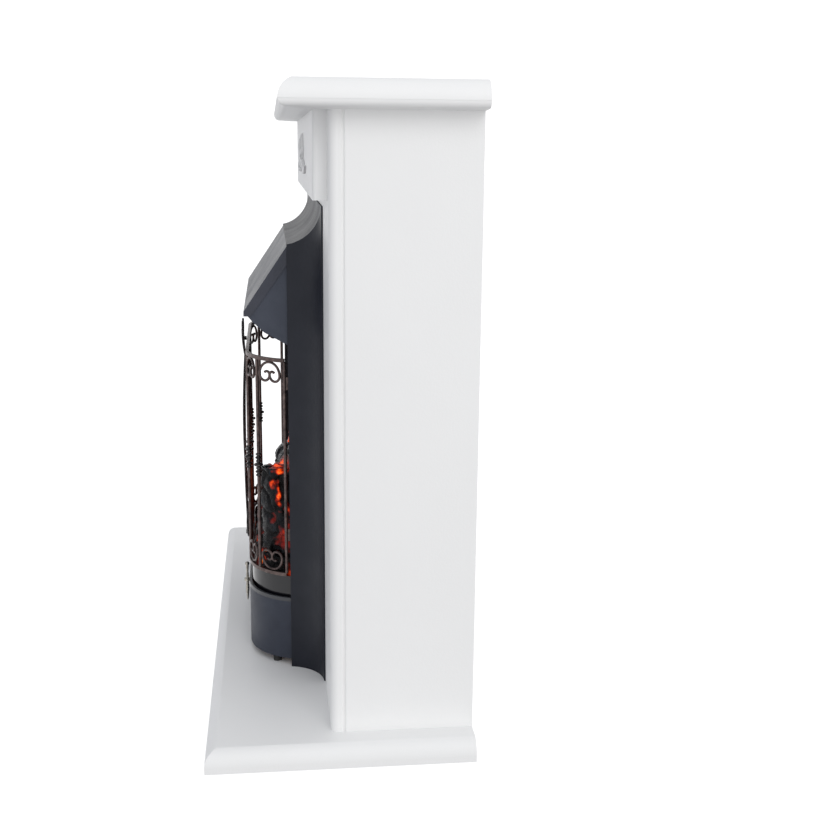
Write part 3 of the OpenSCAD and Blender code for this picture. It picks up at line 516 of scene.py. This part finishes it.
def charred(name, blue, strength):
    kit = Kit(name)
    split = kit.add("ShaderNodeAttribute", attribute_name="split").outputs["Fac"]
    glow = kit.add("ShaderNodeAttribute", attribute_name="glow").outputs["Fac"]
    ash = kit.noise(60.0, 8.0, 0.72, 0.6, kit.stretch(0.6, 1.6, 1.0))
    char = kit.ramp(ash, (0.4, (0.002, 0.002, 0.003)), (0.56, (0.004, 0.005, 0.008)), (0.64, blue), (0.78, (0.04, 0.055, 0.06)))
    # Painted shade: where the split attribute is high the colour turns near-black; on the logs and the bed that is in
    # the cracks.
    crack_shade_mix = kit.add("ShaderNodeMix", data_type="RGBA")
    kit.link(split, crack_shade_mix.inputs["Factor"])
    kit.link(char, crack_shade_mix.inputs["A"])
    crack_shade_mix.inputs["B"].default_value = (0.004, 0.003, 0.003, 1)
    kit.colour(crack_shade_mix.outputs["Result"])
    kit.rough(kit.ramp(ash, (0.35, 0.16), (0.7, 0.5)))
    kit.bump(kit.noise(130.0, 7.0, 0.75, 0.5, kit.stretch(0.6, 1.6, 1.0)), 0.0026)
    flicker = kit.maths("MULTIPLY", glow, kit.ramp(kit.noise(90.0, 3.0), (0.35, 0.25), (0.62, 1.0)))
    kit.link(kit.ramp(flicker, (0.08, (0.0, 0.0, 0.0)), (0.3, (0.12, 0.004, 0.001)), (0.62, (0.75, 0.06, 0.004)), (0.92, (1.0, 0.3, 0.04))),
             kit.shader.inputs["Emission Color"])
    kit.put(Emission_Strength=strength, Specular_IOR_Level=0.22)
    return kit.material


charred_log = charred("charred_log", (0.014, 0.024, 0.034), 1.5)
dress(charred_log, "logs")
hand_over(log_skin, "charred_logs", "surround_and_fire", charred_log, "logs")
print("log skin", len(log_skin.polygons), "faces")

# %% [markdown]
# The ember bed is a tray of broken coals. Its top is heaved into lumps, and loose coals are
# scattered over it. Scattering is work for Geometry Nodes: points on the tray's top, one coal shape
# turned and scaled at random on each point, then made real so that they can be handed over as a mesh.
# %% Ember bed
bed_low, bed_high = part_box("ember_bed")
bed_skin = clay_copy("ember_bed", 0.0032, 1)
bed_split_and_shade, bed_glow, pushed = [], [], []
for vertex in bed_skin.vertices:
    p = vertex.co
    gap = crack_at(p, 0.016, (1, 1, 1))
    split = 1.0 - smooth_step(0.02, 0.3, gap)
    pushed.append(p + vertex.normal * (-0.0045 * split - 0.0005) if p.z > bed_low[2] + 0.01 else p.copy())
    patch = smooth_step(-0.15, 0.25, noise.noise(p * 21.0 + Vector((1, 8, 2))))
    # The split also paints the cracks of the bed near-black in the colour, as painted shade.
    bed_split_and_shade.append(split)
    bed_glow.append(patch * (0.2 + 0.8 * split))
for vertex, spot in zip(bed_skin.vertices, pushed):
    vertex.co = spot
keep_inside(bed_skin, "ember_bed")
tag(bed_skin, "split", bed_split_and_shade)
tag(bed_skin, "glow", bed_glow)
ember_glow = charred("ember_glow", (0.04, 0.03, 0.034), 0.6)
dress(ember_glow, "ember_bed")
hand_over(bed_skin, "ember_tray", "surround_and_fire", ember_glow, "ember_bed")


def coal_shape():
    bm = bmesh.new()
    bmesh.ops.create_icosphere(bm, subdivisions=2, radius=1.0)
    for vertex in bm.verts:
        vertex.co *= 1.0 + 0.35 * noise.noise(vertex.co * 1.7) - 0.12 * abs(noise.noise(vertex.co * 5.0))
        vertex.co.z *= 0.72
    mesh = bpy.data.meshes.new("coal_shape")
    bm.to_mesh(mesh)
    bm.free()
    coal = bpy.data.objects.new("coal_shape", mesh)
    bpy.context.collection.objects.link(coal)
    return coal


def coal_field():
    rows = []
    span = bed_high[0] - 0.022
    for k in range(150):
        x = -span + 2 * span * ((k * 0.618034) % 1.0)
        y = bed_low[1] + 0.016 + 0.085 * ((k * 0.7548777) % 1.0)
        side = max(0.0, abs(x) - 0.117)
        if y < -0.0295 - math.sqrt(max(0.058 ** 2 - side ** 2, 0.0)):
            continue
        rise = min(bed_low[2] + 0.046, bed_low[2] + 0.02 + (y + 0.1495) * math.tan(math.radians(22)))
        rows.append((x, y, rise + 0.001))
    mesh = bpy.data.meshes.new("coal_points")
    mesh.from_pydata(rows, [], [])
    field = bpy.data.objects.new("coal_points", mesh)
    bpy.context.collection.objects.link(field)
    return field


def scatter_tree(coal, finish):
    tree = bpy.data.node_groups.new("scatter_coals", "GeometryNodeTree")
    tree.interface.new_socket("Points", in_out="INPUT", socket_type="NodeSocketGeometry")
    for label, value in (("Smallest", 0.005), ("Largest", 0.0105)):
        tree.interface.new_socket(label, in_out="INPUT", socket_type="NodeSocketFloat").default_value = value
    tree.interface.new_socket("Seed", in_out="INPUT", socket_type="NodeSocketInt").default_value = 7
    tree.interface.new_socket("Coals", in_out="OUTPUT", socket_type="NodeSocketGeometry")
    add = tree.nodes.new
    take, give = add("NodeGroupInput"), add("NodeGroupOutput")
    info, place, real, paint = (add("GeometryNode" + k) for k in ("ObjectInfo", "InstanceOnPoints", "RealizeInstances", "SetMaterial"))
    turn, size = add("FunctionNodeRandomValue"), add("FunctionNodeRandomValue")
    turn.data_type, size.data_type = "FLOAT_VECTOR", "FLOAT"
    turn.inputs["Max"].default_value = (6.28, 6.28, 6.28)
    info.inputs["Object"].default_value = coal
    paint.inputs["Material"].default_value = finish
    spin = add("FunctionNodeEulerToRotation")
    for source, target in (
        (take.outputs["Points"], place.inputs["Points"]), (info.outputs["Geometry"], place.inputs["Instance"]),
        (turn.outputs["Value"], spin.inputs["Euler"]), (spin.outputs["Rotation"], place.inputs["Rotation"]),
        (take.outputs["Smallest"], size.inputs[2]), (take.outputs["Largest"], size.inputs[3]),
        (take.outputs["Seed"], size.inputs["Seed"]), (take.outputs["Seed"], turn.inputs["Seed"]),
        (size.outputs[1], place.inputs["Scale"]), (place.outputs["Instances"], real.inputs["Geometry"]),
        (real.outputs["Geometry"], paint.inputs["Geometry"]), (paint.outputs["Geometry"], give.inputs["Coals"])):
        tree.links.new(source, target)
    return tree


def run_nodes(host, tree, **values):
    maker = host.modifiers.new("maker", "NODES")
    maker.node_group = tree
    for item in tree.interface.items_tree:
        if item.in_out == "INPUT" and item.name in values:
            maker[item.identifier] = values[item.name]
    host.update_tag()
    bpy.context.view_layer.update()
    mesh = bpy.data.meshes.new_from_object(host.evaluated_get(bpy.context.evaluated_depsgraph_get()))
    host.modifiers.clear()
    return mesh


coal, field = coal_shape(), coal_field()
coals = run_nodes(field, scatter_tree(coal, ember_glow), Seed=7)
for extra in (coal, field):
    bpy.data.objects.remove(extra)
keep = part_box("ember_bed")
for vertex in coals.vertices:
    vertex.co = Vector((vertex.co.x, max(vertex.co.y, keep[0][1] + 0.001), vertex.co.z))
tag(coals, "split", [smooth_step(0.0, 0.5, noise.noise(v.co * 160.0)) for v in coals.vertices])
tag(coals, "glow", [0.9 * smooth_step(-0.05, 0.3, noise.noise(v.co * 26.0)) * smooth_step(0.0, 0.4, noise.noise(v.co * 95.0)) for v in coals.vertices])
hand_over(coals, "loose_coals", "surround_and_fire", ember_glow)
print("coals", len(coals.polygons), "faces")

# %% [markdown]
# The carving on the frieze is cast plaster: soft edges, with veins pressed into each leaf. A fine
# clay copy is softened for the cast look, and the veins are pressed in as narrow waves that fan out
# from the rosette.
# %% Carved onlay
carve_low, carve_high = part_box("carved_onlay")
carve_skin = clay_copy("carved_onlay", 0.0006, 6)
heart_x, heart_z = (carve_low[0] + carve_high[0]) / 2, carve_low[2] + 0.36 * (carve_high[2] - carve_low[2])
for vertex in carve_skin.vertices:
    p = vertex.co
    away = math.hypot(p.x - heart_x, p.z - heart_z)
    angle = math.atan2(p.z - heart_z, abs(p.x - heart_x))
    if away > 0.011 and vertex.normal.y < -0.3:
        vein = max(0.0, math.sin(angle * 46.0 + 14.0 * away / 0.03)) ** 3
        vertex.co = p + Vector((0, 0.0009 * vein, 0))
keep_inside(carve_skin, "carved_onlay")
hand_over(carve_skin, "carved_spray", "surround_and_fire", white_paint, "carved_onlay")
print("carving", len(carve_skin.polygons), "faces")

# %% [markdown]
# The tall ornament at the middle of the fret is bent from flat bar. Each bar is a line of points in
# front of the fret, and a small rounded section is carried along it. The bars bow forward in the
# middle and cross near the top, which is what gives the ornament its depth when seen from the end.
# %% Fret ornament
def bent_bar(bm, points, wide, thick, sides=10):
    rings = []
    for k, spot in enumerate(points):
        along = (points[min(k + 1, len(points) - 1)] - points[max(k - 1, 0)]).normalized()
        across = along.cross(Vector((0, -1, 0))).normalized()
        out = across.cross(along).normalized()
        ring = []
        for j in range(sides):
            a = 2 * math.pi * j / sides
            c, d = math.cos(a), math.sin(a)
            c, d = (math.copysign(abs(v) ** 0.6, v) for v in (c, d))
            ring.append(bm.verts.new(spot + across * (c * wide / 2) + out * (d * thick / 2)))
        rings.append(ring)
    for one, two in zip(rings, rings[1:]):
        for j in range(sides):
            bm.faces.new((one[j], one[(j + 1) % sides], two[(j + 1) % sides], two[j]))
    bm.faces.new(list(reversed(rings[0])))
    bm.faces.new(rings[-1])


def arc_line(start, end, rise, near, far, bow, steps=36):
    points = []
    for k in range(steps + 1):
        t = k / steps
        swell = 4 * t * (1 - t)
        x = start[0] + (end[0] - start[0]) * t + rise * swell
        z = start[1] + (end[1] - start[1]) * t
        y = near + (far - near) * t - bow * swell
        points.append(Vector((x, y, z)))
    return points


orn_low, orn_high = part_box("fret_ornament")
rail_low_box, rail_high_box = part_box("fret_rails")
foot, crown = orn_low[2] + 0.004, orn_high[2] - 0.052
front, rear = orn_low[1] + 0.0018, orn_high[1] - 0.0022
bm = bmesh.new()
for s in (-1, 1):
    bent_bar(bm, arc_line((0, foot), (0, crown), 0.0145 * s, rear - 0.001, rear - 0.001, 0.0028), 0.0036, 0.003)
    bent_bar(bm, arc_line((0, foot + 0.058), (0, crown), 0.0225 * s, front + 0.0042, front + 0.0036, 0.0036), 0.0036, 0.003)
    bent_bar(bm, arc_line((0, foot), (0.02 * s, foot + 0.046), 0.007 * s, rear - 0.0012, rear - 0.001, 0.0012, 16), 0.0034, 0.003)
    bent_bar(bm, arc_line((0, crown), (0.0215 * s, orn_high[2] - 0.012), 0.0045 * s, front + 0.0036, front + 0.001, 0.0008, 16), 0.0034, 0.003)
    ring = [Vector((s * 0.0115 + 0.0098 * math.cos(a), front + 0.0012, orn_high[2] - 0.0125 + 0.0098 * math.sin(a)))
            for a in (2 * math.pi * k / 40 for k in range(41))]
    bent_bar(bm, ring, 0.0034, 0.003)
for height in (rail_low_box[2] + 0.0023, rail_high_box[2] - 0.0023):
    block = bmesh.ops.create_cube(bm, size=1.0)["verts"]
    for vertex in block:
        vertex.co = Vector((vertex.co.x * 0.009, rear - 0.0015 + vertex.co.y * 0.0062, height + vertex.co.z * 0.0046))
bmesh.ops.recalc_face_normals(bm, faces=bm.faces)
ornament = bpy.data.meshes.new("bent_ornament")
bm.to_mesh(ornament)
bm.free()
keep_inside(ornament, "fret_ornament")
hand_over(ornament, "bent_ornament", "fret", black_bronze, "fret_ornament")
print("ornament", len(ornament.polygons), "faces")

# %% [markdown]
# Each inner bar of the fret wears a turned collar half way up: a string of beads between fine rings.
# A collar is a profile spun round its bar. One is spun, and Geometry Nodes sets a copy at each of the
# eight places, which are read from the exact collars.
# %% Bead collars
def spun_collar(height, bar, bead):
    rows = [(bar, 0.0), (bar * 1.75, 0.03), (bar * 1.75, 0.075), (bar * 1.15, 0.1)]
    for middle, size in ((0.2, 0.72), (0.5, 1.0), (0.8, 0.72)):
        rows += [(max(bar * 1.15, bead * size * math.sin(math.pi * k / 8)), middle + 0.085 * size * -math.cos(math.pi * k / 8)) for k in range(9)]
        if middle < 0.8:
            rows += [(bar * 1.15, middle + 0.1), (bar * 1.6, middle + 0.13), (bar * 1.6, middle + 0.17), (bar * 1.15, middle + 0.2)]
    rows += [(bar * 1.15, 0.9), (bar * 1.75, 0.925), (bar * 1.75, 0.97), (bar, 1.0)]
    rows.sort(key=lambda r: r[1])
    bm = bmesh.new()
    sides = 20
    rings = [[bm.verts.new((r * math.cos(2 * math.pi * j / sides), r * math.sin(2 * math.pi * j / sides), (h - 0.5) * height))
              for j in range(sides)] for r, h in rows]
    for one, two in zip(rings, rings[1:]):
        for j in range(sides):
            bm.faces.new((one[j], one[(j + 1) % sides], two[(j + 1) % sides], two[j]))
    bmesh.ops.recalc_face_normals(bm, faces=bm.faces)
    mesh = bpy.data.meshes.new("spun_collar")
    bm.to_mesh(mesh)
    bm.free()
    collar = bpy.data.objects.new("spun_collar", mesh)
    bpy.context.collection.objects.link(collar)
    return collar


def collar_places():
    spots = []
    for vertex in nodes["fret_collars"].data.vertices:
        point = nodes["fret_collars"].matrix_world @ vertex.co
        for spot in spots:
            if (spot[0].xy - point.xy).length < 0.012:
                spot[1], spot[2] = (Vector(map(f, spot[k], point)) for k, f in ((1, min), (2, max)))
                break
        else:
            spots.append([point.copy(), point.copy(), point.copy()])
    return [(low + high) / 2 for _, low, high in spots]


def set_tree(shape, finish):
    tree = bpy.data.node_groups.new("set_collars", "GeometryNodeTree")
    tree.interface.new_socket("Places", in_out="INPUT", socket_type="NodeSocketGeometry")
    tree.interface.new_socket("Fullness", in_out="INPUT", socket_type="NodeSocketFloat").default_value = 1.0
    tree.interface.new_socket("Collars", in_out="OUTPUT", socket_type="NodeSocketGeometry")
    take, give = tree.nodes.new("NodeGroupInput"), tree.nodes.new("NodeGroupOutput")
    info, place, real, paint = (tree.nodes.new("GeometryNode" + k) for k in ("ObjectInfo", "InstanceOnPoints", "RealizeInstances", "SetMaterial"))
    info.inputs["Object"].default_value = shape
    paint.inputs["Material"].default_value = finish
    for source, target in (
        (take.outputs["Places"], place.inputs["Points"]), (info.outputs["Geometry"], place.inputs["Instance"]),
        (take.outputs["Fullness"], place.inputs["Scale"]), (place.outputs["Instances"], real.inputs["Geometry"]),
        (real.outputs["Geometry"], paint.inputs["Geometry"]), (paint.outputs["Geometry"], give.inputs["Collars"])):
        tree.links.new(source, target)
    return tree


collar_low, collar_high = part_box("fret_collars")
places = collar_places()
dots = bpy.data.meshes.new("collar_places")
dots.from_pydata([tuple(p) for p in places], [], [])
holder = bpy.data.objects.new("collar_places", dots)
bpy.context.collection.objects.link(holder)
shape = spun_collar(collar_high[2] - collar_low[2], 0.0022, 0.0062)
collars = run_nodes(holder, set_tree(shape, black_bronze), Fullness=1.0)
for extra in (shape, holder):
    bpy.data.objects.remove(extra)
hand_over(collars, "spun_collars", "fret", black_bronze, "fret_collars")
print("collars at", len(places), "places")
